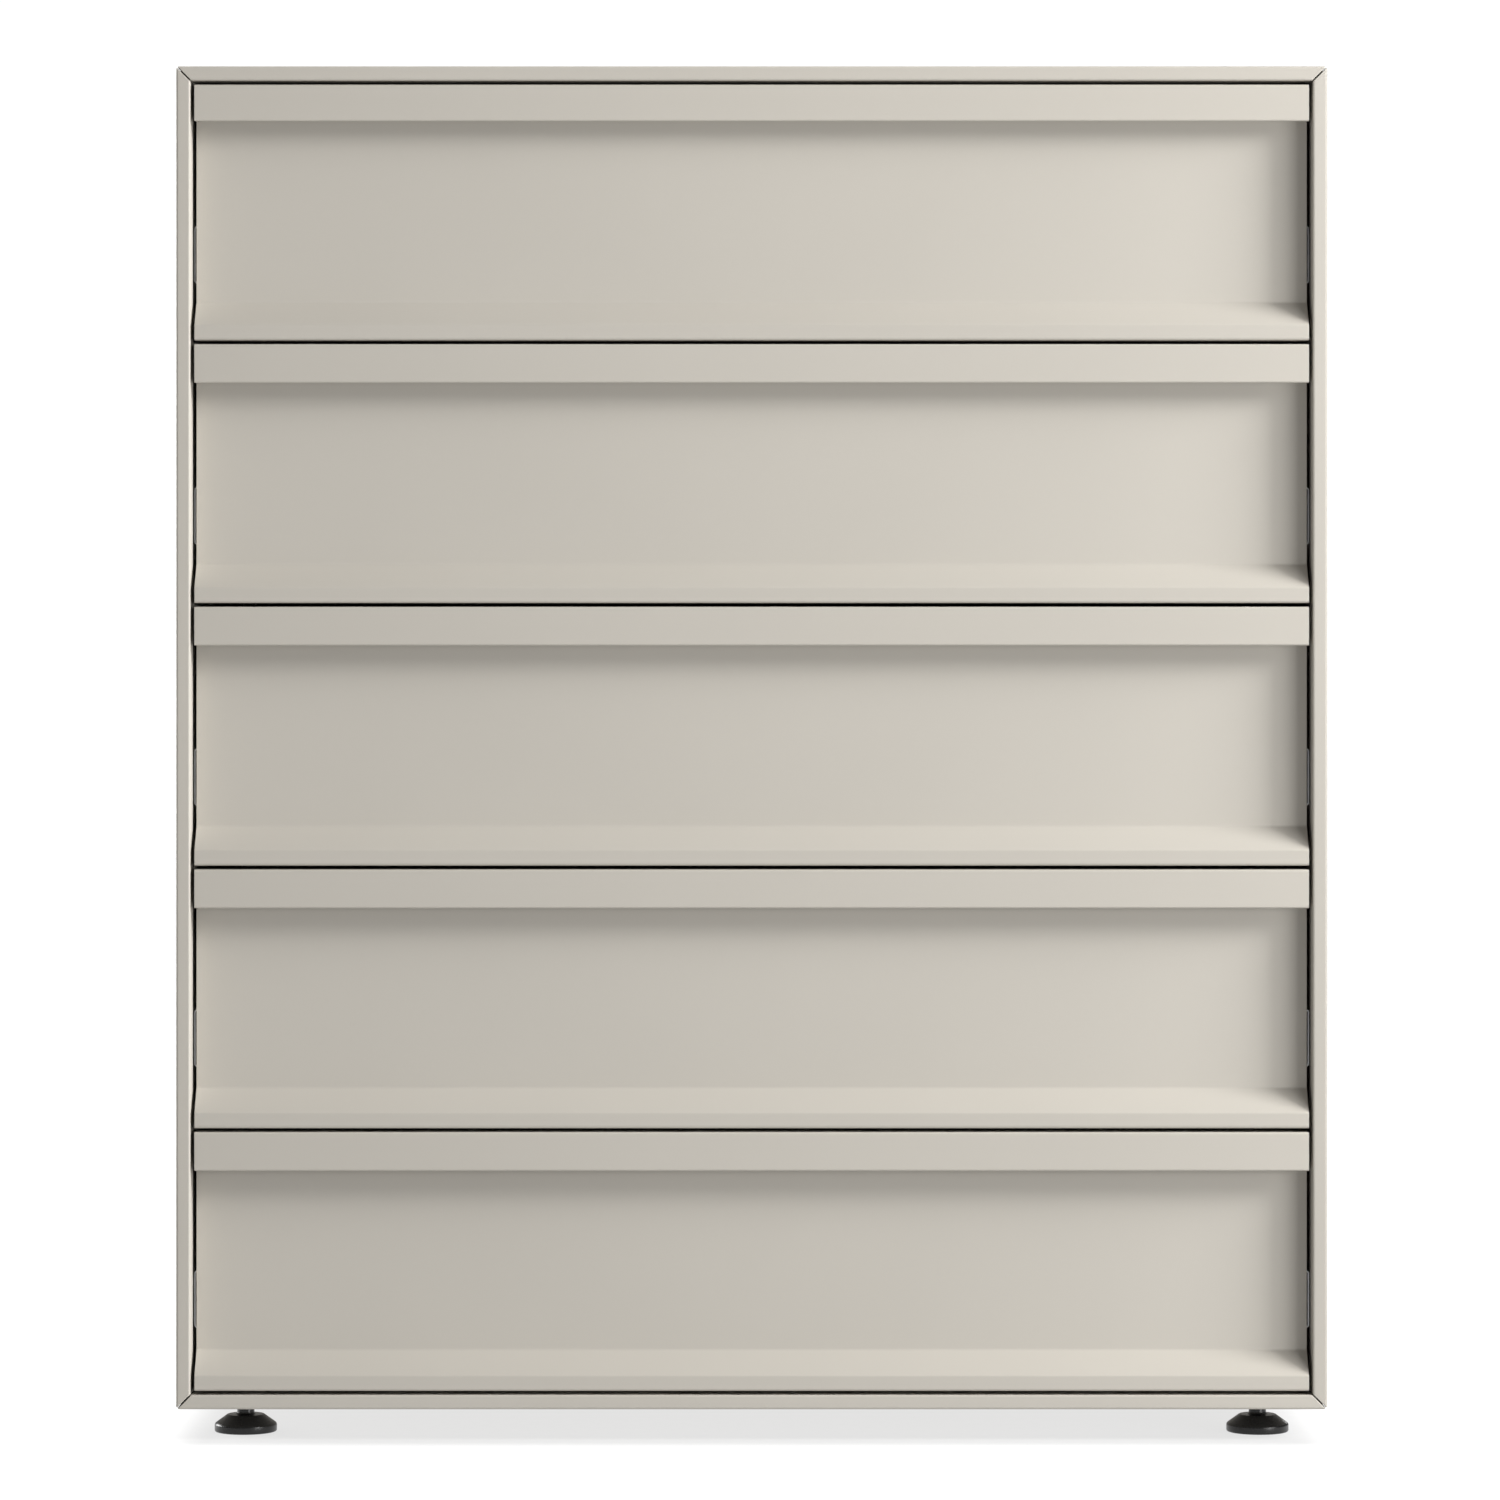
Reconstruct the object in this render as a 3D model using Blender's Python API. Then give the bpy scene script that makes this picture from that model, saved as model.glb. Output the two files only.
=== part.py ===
"""Five-drawer flat file cabinet in folded, powder-coated sheet steel.

Metres, +Z up. The origin is on the floor under the middle of the cabinet. The drawers face -Y.
The case is four mitred panels and a back, stiffened by four posts and two base rails. It stands
on four levelling feet. Each drawer is a folded front with a hooked pull along its top edge, a
steel tray behind it, and a pair of three-member ball-bearing slides.
"""

import math

import bmesh
import bpy
from mathutils import Vector

MM = 0.001

# ---------------------------------------------------------------- driving dimensions (mm)
CASE_W = 914.4            # 36 in, over the side panels
CASE_D = 660.4            # 26 in, front flange to back panel
CASE_H = 1066.8           # 42 in, bottom panel to top panel
FOOT_H = 25.4             # 1 in clear under the case
SHEET = 1.2               # case sheet
FLANGE = 11.5             # width of the front flange round the opening
RETURN = 22.0             # depth of the flange's return into the opening
REAR_FLANGE = 20.0
EDGE_R = 2.0              # outside radius of the case's front and rear bends
CORNER_R = 2.6            # rounding of the case's four long corners
MITRE = 0.3               # each panel stops this far short of the mitre plane
FIT = 0.3                 # gap kept between parts that touch

DRAWERS = 5
PITCH = 208.65
GAP_BELOW = 3.0           # bottom flange to the lowest drawer
FRONT_H = 205.7
TOP_FRONT_H = 203.2       # the top front is lower, to clear the top flange
SIDE_GAP = 3.1
FRONT_SET = 0.5           # fronts sit this far behind the case's front plane
FRONT_T = 1.5
LIP_H = 12.2              # flat lip at the foot of each front
LEDGE_H = 18.7            # sloped ledge above the lip
RECESS = 17.5             # depth of the recessed face behind the lip and the pull
PULL_H = 30.8             # height of the pull strip
TOP_PULL_H = 29.1
FRONT_DEPTH = 25.0        # front face to the back of the folded edges
BEND_R = 2.2              # visible radius of a convex bend in a front

TRAY_T = 1.2
TRAY_H = 160.0
TRAY_UP = 20.0            # tray bottom above the front's lower edge
TRAY_BACK = 300.0         # y of the tray's back
HEM_T = 3.0
HEM_H = 10.0

SLIDE_L = 558.8           # 22 in
SLIDE_FRONT = -302.0
SLIDE_UP = 70.0           # slide centre above the front's lower edge
SLIDE_T = 1.2
OUTER_H, MIDDLE_H, INNER_H = 45.7, 35.0, 24.6
SLIDE_W = 12.4

POST_W = 40.0
POST_FOOT = 10.0
POST_Y = (-280.0, 245.0)

FOOT_X, FOOT_Y = 407.2, 267.7
BASE_R, RIM_H, BASE_H = 25.0, 5.4, 14.0
SHOULDER_R, NECK_R = 15.0, 6.95
STUD_R, STUD_TOP = 5.0, 56.0
RAIL_T, RAIL_W, RAIL_TOP = 1.5, 44.0, 9.5

# ---------------------------------------------------------------- derived planes (mm)
FRONT_Y = -CASE_D / 2
BACK_Y = CASE_D / 2
REAR_Y = BACK_Y - SHEET - FIT            # back of the case panels, where the back panel lies
OPEN_X = CASE_W / 2 - FLANGE             # half the opening's width, and the slides' plane
FRONT_X = OPEN_X - SIDE_GAP
FACE_Y = FRONT_Y + FRONT_SET
FACE_BACK = FACE_Y + FRONT_DEPTH
MID_Z = FOOT_H + CASE_H / 2
TRAY_X = OPEN_X - FIT - SLIDE_W - FIT


def front_bottom(n):
    """Height of drawer n's lower edge. Drawer 1 is the top one."""
    return FOOT_H + FLANGE + GAP_BELOW + (DRAWERS - n) * PITCH


# ---------------------------------------------------------------- scene
for old in list(bpy.data.objects):
    bpy.data.objects.remove(old, do_unlink=True)

COLLECTION = bpy.context.scene.collection


def material(name, rgb, roughness, metallic):
    m = bpy.data.materials.new(name)
    m.use_nodes = True
    shader = m.node_tree.nodes["Principled BSDF"]
    shader.inputs["Base Color"].default_value = (*rgb, 1.0)
    shader.inputs["Roughness"].default_value = roughness
    shader.inputs["Metallic"].default_value = metallic
    m.diffuse_color = (*rgb, 1.0)
    return m


COAT = (0.56, 0.535, 0.475)
ZINC = (0.62, 0.63, 0.64)
NYLON = (0.012, 0.012, 0.013)


def empty(name, place, parent=None):
    e = bpy.data.objects.new(name, None)
    COLLECTION.objects.link(e)
    e.location = Vector(place) * MM
    if parent is not None:
        e.parent = parent
    return e


def part(name, mesh, place, look, parent):
    """One named piece. look is (rgb, roughness, metallic); each piece has its own material."""
    o = bpy.data.objects.new(name, mesh.copy())
    o.data.name = name
    COLLECTION.objects.link(o)
    o.location = Vector(place) * MM
    o.parent = parent
    o.data.materials.clear()
    o.data.materials.append(material(name, *look))
    return o


COATED = (COAT, 0.55, 0.0)
ZINCED = (ZINC, 0.32, 1.0)
MOULDED = (NYLON, 0.42, 0.0)


# ---------------------------------------------------------------- profiles
def arc_at(corner, before, after, radius, side, thickness, steps):
    """Points of the two faces round one bend: on the visible face, and one thickness away."""
    p, a, b = Vector(corner), Vector(before), Vector(after)
    d1, d2 = (p - a).normalized(), (b - p).normalized()
    turn = d1.x * d2.y - d1.y * d2.x
    angle = math.atan2(turn, d1.dot(d2))
    reach = radius * math.tan(abs(angle) / 2)
    left = Vector((-d1.y, d1.x))
    sign = 1 if angle > 0 else -1
    centre = p - d1 * reach + left * radius * sign
    near = sign == side               # the bend's centre is on the sheet's own side
    other = radius - thickness if near else radius + thickness
    face, back = [], []
    for k in range(steps + 1):
        t = angle * k / steps
        out = -left * sign
        out = Vector((out.x * math.cos(t) - out.y * math.sin(t), out.x * math.sin(t) + out.y * math.cos(t)))
        face.append(centre + out * radius)
        back.append(centre + out * other)
    return face, back


def sheet_section(path, side, thickness, steps=5):
    """Closed outline of a folded sheet. path holds (u, v) ends and (u, v, radius) bends on the
    visible face; the sheet lies to its left when side is 1 and to its right when side is -1."""
    face, back = [], []
    last = len(path) - 1
    for i, entry in enumerate(path):
        here = Vector(entry[:2])
        if i in (0, last):
            along = (Vector(path[1][:2]) - here) if i == 0 else (here - Vector(path[i - 1][:2]))
            along.normalize()
            face.append(here)
            back.append(here + Vector((-along.y, along.x)) * side * thickness)
        else:
            f, b = arc_at(here, path[i - 1][:2], path[i + 1][:2], entry[2], side, thickness, steps)
            face += f
            back += b
    return face + back[::-1]


def rounded(path, steps=5):
    """Closed outline with its (u, v, radius) corners rounded."""
    out = []
    n = len(path)
    for i, entry in enumerate(path):
        if len(entry) == 2:
            out.append(Vector(entry))
        else:
            f, _ = arc_at(entry[:2], path[i - 1][:2], path[(i + 1) % n][:2], entry[2], 1, 0.0, steps)
            out += f
    return out


def prism(name, outline, place, start, end):
    """Closed prism. place(u, v, s) gives a point in mm; start and end give s at a point of the outline."""
    bm = bmesh.new()
    low = [bm.verts.new(Vector(place(p.x, p.y, start(p.x, p.y))) * MM) for p in outline]
    high = [bm.verts.new(Vector(place(p.x, p.y, end(p.x, p.y))) * MM) for p in outline]
    bm.faces.new(low)
    bm.faces.new(high[::-1])
    n = len(outline)
    for i in range(n):
        j = (i + 1) % n
        bm.faces.new((low[i], high[i], high[j], low[j]))
    bmesh.ops.recalc_face_normals(bm, faces=bm.faces)
    mesh = bpy.data.meshes.new(name)
    bm.to_mesh(mesh)
    bm.free()
    return mesh


def const(value):
    return lambda u, v: value


def turned(name, profile, steps):
    """Solid of revolution about Z. profile is (radius, height) from the axis below, out and up, to the axis above."""
    bm = bmesh.new()
    rings = []
    for r, z in profile:
        if r < 1e-6:
            rings.append([bm.verts.new((0, 0, z * MM))])
        else:
            rings.append([
                bm.verts.new((r * MM * math.cos(2 * math.pi * k / steps), r * MM * math.sin(2 * math.pi * k / steps), z * MM))
                for k in range(steps)
            ])
    for a, b in zip(rings, rings[1:]):
        for k in range(steps):
            m = (k + 1) % steps
            if len(a) == 1:
                bm.faces.new((a[0], b[m], b[k]))
            elif len(b) == 1:
                bm.faces.new((a[k], a[m], b[0]))
            else:
                bm.faces.new((a[k], a[m], b[m], b[k]))
    bmesh.ops.recalc_face_normals(bm, faces=bm.faces)
    mesh = bpy.data.meshes.new(name)
    bm.to_mesh(mesh)
    bm.free()
    mesh.shade_smooth()
    mesh.set_sharp_from_angle(angle=math.radians(30))
    return mesh


def block(name, low, high):
    outline = [Vector((low[0], low[1])), Vector((high[0], low[1])), Vector((high[0], high[1])), Vector((low[0], high[1]))]
    return prism(name, outline, lambda u, v, s: (u, v, s), const(low[2]), const(high[2]))


def joined(name, meshes):
    """Several closed shapes in one mesh, for a cutter."""
    bm = bmesh.new()
    for m in meshes:
        bm.from_mesh(m)
    mesh = bpy.data.meshes.new(name)
    bm.to_mesh(mesh)
    bm.free()
    return mesh


def carved(name, mesh, cutters):
    """mesh with each cutter taken away, by Boolean modifiers that are then made real."""
    o = bpy.data.objects.new(name, mesh)
    COLLECTION.objects.link(o)
    helpers = []
    for i, c in enumerate(cutters):
        h = bpy.data.objects.new(f"{name}_cutter_{i}", c)
        COLLECTION.objects.link(h)
        h.hide_render = True
        h.display_type = "WIRE"
        helpers.append(h)
        cut = o.modifiers.new(f"cut_{i}", "BOOLEAN")
        cut.operation = "DIFFERENCE"
        cut.solver = "EXACT"
        cut.object = h
    bpy.context.view_layer.update()
    graph = bpy.context.evaluated_depsgraph_get()
    result = bpy.data.meshes.new_from_object(o.evaluated_get(graph))
    result.name = name
    bpy.data.objects.remove(o, do_unlink=True)
    for h in helpers:
        bpy.data.objects.remove(h, do_unlink=True)
    return result


# ---------------------------------------------------------------- the case
cabinet = empty("cabinet", (0, 0, 0))

# Section of every case panel, as (n, y): n is 0 on the outer face and falls inwards.
PANEL_SECTION = sheet_section(
    [
        (-REAR_FLANGE, REAR_Y),
        (0, REAR_Y, EDGE_R),
        (0, FRONT_Y, EDGE_R),
        (-FLANGE, FRONT_Y, EDGE_R - 0.2),
        (-FLANGE, FRONT_Y + RETURN),
    ],
    -1,
    SHEET,
    steps=4,
)


def corner_cutter(half_a, half_b):
    """Takes the sharp long corner off at (+half_a, +half_b); the result lies along Y. Returns its (a, b) outline."""
    pts = []
    for k in range(7):
        t = math.pi / 2 * k / 6
        pts.append(Vector((half_a - CORNER_R + CORNER_R * math.sin(t), half_b - CORNER_R + CORNER_R * math.cos(t))))
    pts += [Vector((half_a + 3, half_b - CORNER_R)), Vector((half_a + 3, half_b + 3)), Vector((half_a - CORNER_R, half_b + 3))]
    return pts


def panel_mesh(name, half_length, place):
    """One folded panel, mitred at 45 degrees at both ends. place(n, y, s) puts it in the panel's own frame."""
    return prism(
        name,
        PANEL_SECTION,
        place,
        lambda n, y: -(half_length + n - MITRE),
        lambda n, y: half_length + n - MITRE,
    )


def long_corners(place):
    """Cutters for the two corners at a panel's ends, in that panel's frame: place(n, y, s)."""
    def one(half, sign):
        outline = corner_cutter(0, half)
        return prism("corner", outline, lambda a, b, y: place(a, y, sign * b), const(FRONT_Y - 5), const(BACK_Y + 5))
    return one


def case_panel(name, half_length, place, at):
    corners = long_corners(place)
    cutter = joined(name + "_corners", [corners(half_length, 1), corners(half_length, -1)])
    cuts = [cutter]
    if name == "bottom_panel":
        holes = []
        for sx in (-1, 1):
            for sy in (-1, 1):
                c = turned("hole", [(0, -6), (STUD_R + 0.6, -6), (STUD_R + 0.6, 6), (0, 6)], 24)
                for vert in c.vertices:
                    vert.co += Vector((sx * FOOT_X, sy * FOOT_Y, 0)) * MM
                holes.append(c)
        cuts.append(joined(name + "_holes", holes))
    return part(name, carved(name, panel_mesh(name, half_length, place), cuts), at, COATED, cabinet)


half_w, half_h = CASE_W / 2, CASE_H / 2
case_panel("left_side_panel", half_h, lambda n, y, s: (-n, y, s), (-half_w, 0, MID_Z))
case_panel("right_side_panel", half_h, lambda n, y, s: (n, y, s), (half_w, 0, MID_Z))
case_panel("top_panel", half_w, lambda n, y, s: (s, y, n), (0, 0, FOOT_H + CASE_H))
case_panel("bottom_panel", half_w, lambda n, y, s: (s, y, -n), (0, 0, FOOT_H))

back_outline = rounded([
    (-half_w + 4, -half_h + 4, 6), (half_w - 4, -half_h + 4, 6), (half_w - 4, half_h - 4, 6), (-half_w + 4, half_h - 4, 6),
], steps=4)
part(
    "back_panel",
    prism("back_panel", back_outline, lambda x, z, y: (x, y, z), const(-SHEET), const(0)),
    (0, BACK_Y, MID_Z),
    COATED,
    cabinet,
)

# Hat-section posts, feet against the side panels and webs on the slides' plane.
post_deep = FLANGE - SHEET - FIT
# the feet's visible face is one sheet short of the side panel
POST_SECTION = sheet_section(
    [
        (post_deep - SHEET, -POST_W / 2 - POST_FOOT),
        (post_deep - SHEET, -POST_W / 2, 0.5),
        (0, -POST_W / 2, 1.7),
        (0, POST_W / 2, 1.7),
        (post_deep - SHEET, POST_W / 2, 0.5),
        (post_deep - SHEET, POST_W / 2 + POST_FOOT),
    ],
    -1,
    SHEET,
    steps=3,
)
post_half = half_h - SHEET - 0.5
for side, sx in (("left", -1), ("right", 1)):
    post_mesh = prism("post", POST_SECTION, lambda u, y, z, sx=sx: (sx * u, y, z), const(-post_half), const(post_half))
    for end, y in zip(("front", "rear"), POST_Y):
        part(f"{end}_{side}_post", post_mesh, (sx * OPEN_X, y, MID_Z), COATED, cabinet)

# Base rails: hat sections on the bottom panel that take the feet's studs.
RAIL_SECTION = sheet_section(
    [
        (-RAIL_W / 2 - 10, SHEET + FIT + RAIL_T),
        (-RAIL_W / 2, SHEET + FIT + RAIL_T, 0.8),
        (-RAIL_W / 2, RAIL_TOP, 2.2),
        (RAIL_W / 2, RAIL_TOP, 2.2),
        (RAIL_W / 2, SHEET + FIT + RAIL_T, 0.8),
        (RAIL_W / 2 + 10, SHEET + FIT + RAIL_T),
    ],
    -1,
    RAIL_T,
    steps=3,
)
for side, sx in (("left", -1), ("right", 1)):
    rail = prism("rail", RAIL_SECTION, lambda u, z, y: (u, y, z), const(-300), const(REAR_Y - SHEET - 6))
    holes = []
    for sy in (-1, 1):
        c = turned("hole", [(0, 4), (STUD_R + 0.3, 4), (STUD_R + 0.3, 14), (0, 14)], 24)
        for vert in c.vertices:
            vert.co += Vector((0, sy * FOOT_Y, 0)) * MM
        holes.append(c)
    mesh = carved("rail", rail, [joined("rail_holes", holes)])
    part(f"{side}_base_rail", mesh, (sx * FOOT_X, 0, FOOT_H), COATED, cabinet)

# ---------------------------------------------------------------- levelling feet
base_mesh = turned(
    "foot_base",
    [
        (0, 0), (BASE_R - 1.2, 0), (BASE_R - 0.35, 0.35), (BASE_R, 1.2), (BASE_R, RIM_H), (BASE_R - 0.5, RIM_H + 1.4), (BASE_R - 1.6, RIM_H + 2.6),
        (SHOULDER_R + 0.6, BASE_H - 0.5), (SHOULDER_R - 0.2, BASE_H), (NECK_R + 0.6, BASE_H + 0.3), (NECK_R, BASE_H + 0.9),
        (NECK_R, FOOT_H - FIT), (STUD_R + FIT, FOOT_H - FIT), (STUD_R + FIT, 6.0), (0, 6.0),
    ],
    48,
)
stud_mesh = turned("foot_stud", [(0, 6.3), (STUD_R, 6.3), (STUD_R, STUD_TOP - 1), (STUD_R - 1, STUD_TOP), (0, STUD_TOP)], 24)
for end, sy in (("front", -1), ("rear", 1)):
    for side, sx in (("left", -1), ("right", 1)):
        axis = empty(f"{end}_{side}_foot_axis", (sx * FOOT_X, sy * FOOT_Y, 0), cabinet)
        part(f"{end}_{side}_foot_base", base_mesh, (0, 0, 0), MOULDED, axis)
        part(f"{end}_{side}_foot_stud", stud_mesh, (0, 0, 0), ZINCED, axis)


# ---------------------------------------------------------------- drawer fronts
def front_mesh(name, height, pull):
    """A folded front in its own frame: z from its lower edge, y from its face.
    The lip stands at the face, the ledge slopes back to the recessed panel, and the sheet hooks forward
    and down again at the top to make the pull."""
    t = FRONT_T
    d, r = RECESS, BEND_R
    outline = rounded([
        (0, 0, r), (FRONT_DEPTH, 0), (FRONT_DEPTH, height), (0, height, r), (0, height - pull, 0.7),
        (d, height - pull), (d, LIP_H + LEDGE_H, 3.0), (0, LIP_H, r),
    ])
    body = prism(name, outline, lambda y, z, x: (x, y, z), const(-FRONT_X), const(FRONT_X))
    inside = FRONT_X - t
    # behind the lip, ledge and recessed panel
    slope = math.atan2(d, LEDGE_H)
    rise = t * math.tan(slope / 2)
    behind = rounded([
        (t, t, r - t), (FRONT_DEPTH + 5, t), (FRONT_DEPTH + 5, height - t), (d + t, height - t, r - t),
        (d + t, LIP_H + LEDGE_H - rise, 3.0 + t), (t, LIP_H - rise, r - t),
    ])
    cut_behind = prism(name + "_behind", behind, lambda y, z, x: (x, y, z), const(-inside), const(inside))
    # the finger space behind the pull
    finger = rounded([(t, height - pull - 5), (d, height - pull - 5), (d, height - t, r - t), (t, height - t, r - t)])
    cut_finger = prism(name + "_finger", finger, lambda y, z, x: (x, y, z), const(-inside), const(inside))
    return carved(name, body, [cut_behind, cut_finger])


# ---------------------------------------------------------------- trays
def tray_mesh():
    """Open steel tray with a doubled hem round its rim. z from the tray's bottom, y from its front."""
    depth = TRAY_BACK - (FACE_BACK + FIT)
    body = block("tray", (-TRAY_X, 0, 0), (TRAY_X, depth, TRAY_H))
    below = block("below", (-TRAY_X + TRAY_T, TRAY_T, TRAY_T), (TRAY_X - TRAY_T, depth - TRAY_T, TRAY_H - HEM_H))
    rim = block("rim", (-TRAY_X + HEM_T, HEM_T, TRAY_H - HEM_H - 1), (TRAY_X - HEM_T, depth - HEM_T, TRAY_H + 5))
    return carved("tray", body, [below, rim])


# ---------------------------------------------------------------- slides
def channel(name, inner_u, outer_u, height, radius):
    """A channel of a slide: web at inner_u, legs running to outer_u."""
    way = 1 if outer_u > inner_u else -1
    section = sheet_section(
        [(outer_u, -height / 2), (inner_u, -height / 2, radius), (inner_u, height / 2, radius), (outer_u, height / 2)],
        -way,
        SLIDE_T,
        steps=3,
    )
    return section


OUTER = channel("outer", 0.0, 10.8, OUTER_H, 2.6)
MIDDLE = channel("middle", 2.0, 10.8, MIDDLE_H, 2.6)
INNER = channel("inner", SLIDE_W, 4.0, INNER_H, 2.6)

slide_meshes = {}
for side, sx in (("left", 1), ("right", -1)):
    for member, section in (("outer", OUTER), ("middle", MIDDLE), ("inner", INNER)):
        slide_meshes[side, member] = prism(
            f"slide_{member}", section, lambda u, v, y, sx=sx: (sx * u, y, v), const(0), const(SLIDE_L)
        )

fronts = {TOP_FRONT_H: front_mesh("front_top", TOP_FRONT_H, TOP_PULL_H), FRONT_H: front_mesh("front", FRONT_H, PULL_H)}
tray = tray_mesh()
slide_x = OPEN_X - FIT

for n in range(1, DRAWERS + 1):
    z = front_bottom(n)
    runner = empty(f"drawer_{n}_runner", (0, FACE_Y, z), cabinet)
    drawer = empty(f"drawer_{n}", (0, FACE_Y, z), cabinet)
    part(f"drawer_{n}_front", fronts[TOP_FRONT_H if n == 1 else FRONT_H], (0, 0, 0), COATED, drawer)
    part(f"drawer_{n}_tray", tray, (0, FRONT_DEPTH + FIT, TRAY_UP), COATED, drawer)
    for side, sx in (("left", -1), ("right", 1)):
        at = (sx * slide_x, SLIDE_FRONT - FACE_Y, SLIDE_UP)
        part(f"drawer_{n}_{side}_slide_inner", slide_meshes[side, "inner"], at, ZINCED, drawer)
        part(f"drawer_{n}_{side}_slide_middle", slide_meshes[side, "middle"], at, ZINCED, runner)
        part(
            f"drawer_{n}_{side}_slide_outer",
            slide_meshes[side, "outer"],
            (at[0], SLIDE_FRONT, z + SLIDE_UP),
            ZINCED,
            cabinet,
        )

bpy.context.view_layer.update()
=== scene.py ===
import math

import bmesh
import bpy
from mathutils import Matrix, Vector


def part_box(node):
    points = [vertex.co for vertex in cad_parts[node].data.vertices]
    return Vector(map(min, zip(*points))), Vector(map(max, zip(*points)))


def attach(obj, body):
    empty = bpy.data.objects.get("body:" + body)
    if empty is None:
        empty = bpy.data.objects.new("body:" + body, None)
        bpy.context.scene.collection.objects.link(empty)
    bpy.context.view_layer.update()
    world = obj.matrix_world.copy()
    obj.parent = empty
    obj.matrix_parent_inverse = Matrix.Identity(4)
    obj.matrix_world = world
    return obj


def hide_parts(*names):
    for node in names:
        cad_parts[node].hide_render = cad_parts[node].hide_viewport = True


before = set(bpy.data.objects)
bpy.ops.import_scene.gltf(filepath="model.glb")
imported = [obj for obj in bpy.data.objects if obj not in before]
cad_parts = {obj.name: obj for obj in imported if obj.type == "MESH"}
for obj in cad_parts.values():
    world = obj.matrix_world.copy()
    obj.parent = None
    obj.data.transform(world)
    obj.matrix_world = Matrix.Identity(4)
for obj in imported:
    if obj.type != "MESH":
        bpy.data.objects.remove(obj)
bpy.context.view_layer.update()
MM = 0.001
DRAWERS = 5


def mm_box(node):
    lo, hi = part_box(node)
    return Vector(lo) / MM, Vector(hi) / MM


# ------------------------------------------------------------------ sizes read from the frame, in mm
side_lo, side_hi = mm_box("right_side_panel")
left_lo, left_hi = mm_box("left_side_panel")
top_lo, top_hi = mm_box("top_panel")
bottom_lo, bottom_hi = mm_box("bottom_panel")
back_lo, back_hi = mm_box("back_panel")
CASE_X = side_hi.x
CASE_TOP = top_hi.z
CASE_BOTTOM = bottom_lo.z
FRONT_Y = side_lo.y
REAR_Y = side_hi.y
BACK_Y = back_hi.y
MID_Z = (CASE_TOP + CASE_BOTTOM) / 2
HALF_H = (CASE_TOP - CASE_BOTTOM) / 2

SHEET = 1.2
FLANGE = 11.5
RETURN = 22.0
REAR_FLANGE = 20.0
EDGE_R = 2.0
CORNER_R = 2.6
MITRE = 0.3
FRONT_MITRE = 0.8
MITRE_EDGE = 0.5
OPEN_X = CASE_X - FLANGE

FRONT_T = 1.5
LIP_H = 12.2
LEDGE_H = 18.7
RECESS = 17.5
BEND_R = 2.2
PULL = {n: (29.1 if n == 1 else 30.8) for n in range(1, DRAWERS + 1)}

SLIDE_T = 1.2
SLIDE_W = 12.4
OUTER_H, MIDDLE_H, INNER_H = 45.7, 35.0, 24.6


# ------------------------------------------------------------------ node helpers for materials
def new_material(name):
    m = bpy.data.materials.new(name)
    m.use_nodes = True
    t = m.node_tree
    shader = t.nodes["Principled BSDF"]
    return m, t, shader


def node(t, kind, **values):
    n = t.nodes.new(kind)
    for k, v in values.items():
        if k.startswith("in_"):
            n.inputs[int(k[3:])].default_value = v
        else:
            setattr(n, k, v)
    return n


def ramp(t, source, stops):
    r = t.nodes.new("ShaderNodeValToRGB")
    t.links.new(source, r.inputs[0])
    while len(r.color_ramp.elements) < len(stops):
        r.color_ramp.elements.new(0.5)
    for e, (at, c) in zip(r.color_ramp.elements, stops):
        e.position = at
        e.color = (*c, 1.0) if len(c) == 3 else c
    return r


def scaled(t, k):
    """Object coordinates times k, per axis."""
    coord = t.nodes.new("ShaderNodeTexCoord")
    mapping = t.nodes.new("ShaderNodeMapping")
    mapping.inputs["Scale"].default_value = k
    t.links.new(coord.outputs["Object"], mapping.inputs["Vector"])
    return mapping.outputs["Vector"]


def noise(t, vector, scale, detail, rough=0.5):
    n = t.nodes.new("ShaderNodeTexNoise")
    n.inputs["Scale"].default_value = scale
    n.inputs["Detail"].default_value = detail
    n.inputs["Roughness"].default_value = rough
    t.links.new(vector, n.inputs["Vector"])
    return n.outputs["Fac"]


def maths(t, op, a, b):
    n = t.nodes.new("ShaderNodeMath")
    n.operation = op
    for i, v in enumerate((a, b)):
        if isinstance(v, (int, float)):
            n.inputs[i].default_value = v
        else:
            t.links.new(v, n.inputs[i])
    return n.outputs[0]


def bump(t, shader, height, distance, strength):
    b = t.nodes.new("ShaderNodeBump")
    b.inputs["Distance"].default_value = distance
    b.inputs["Strength"].default_value = strength
    t.links.new(height, b.inputs["Height"])
    t.links.new(b.outputs["Normal"], shader.inputs["Normal"])
    return b


def tint(c, k):
    return tuple(min(1.0, x * k) for x in c)


PUTTY = (0.516, 0.486, 0.433)


def powder_coat(name, colour, roughness=0.46):
    """Polyester powder coat: soft orange peel about 1.5 mm across, a fine tooth under it, faint drift in tone."""
    m, t, s = new_material(name)
    v = scaled(t, (1, 1, 1))
    drift = noise(t, v, 2.6, 3.0, 0.5)
    speck = noise(t, v, 2600.0, 2.0, 0.7)
    peel = noise(t, v, 620.0, 2.0, 0.45)
    mix = maths(t, "ADD", maths(t, "MULTIPLY", drift, 0.72), maths(t, "MULTIPLY", speck, 0.28))
    c = ramp(t, mix, [(0.30, tint(colour, 0.965)), (0.70, tint(colour, 1.03))])
    t.links.new(c.outputs[0], s.inputs["Base Color"])
    r = ramp(t, speck, [(0.25, (roughness - 0.05,) * 3), (0.75, (roughness + 0.07,) * 3)])
    t.links.new(r.outputs[0], s.inputs["Roughness"])
    h = maths(t, "ADD", maths(t, "MULTIPLY", peel, 0.8), maths(t, "MULTIPLY", speck, 0.2))
    bump(t, s, h, 0.00005, 0.55)
    s.inputs["Specular IOR Level"].default_value = 0.42
    return m


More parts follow.
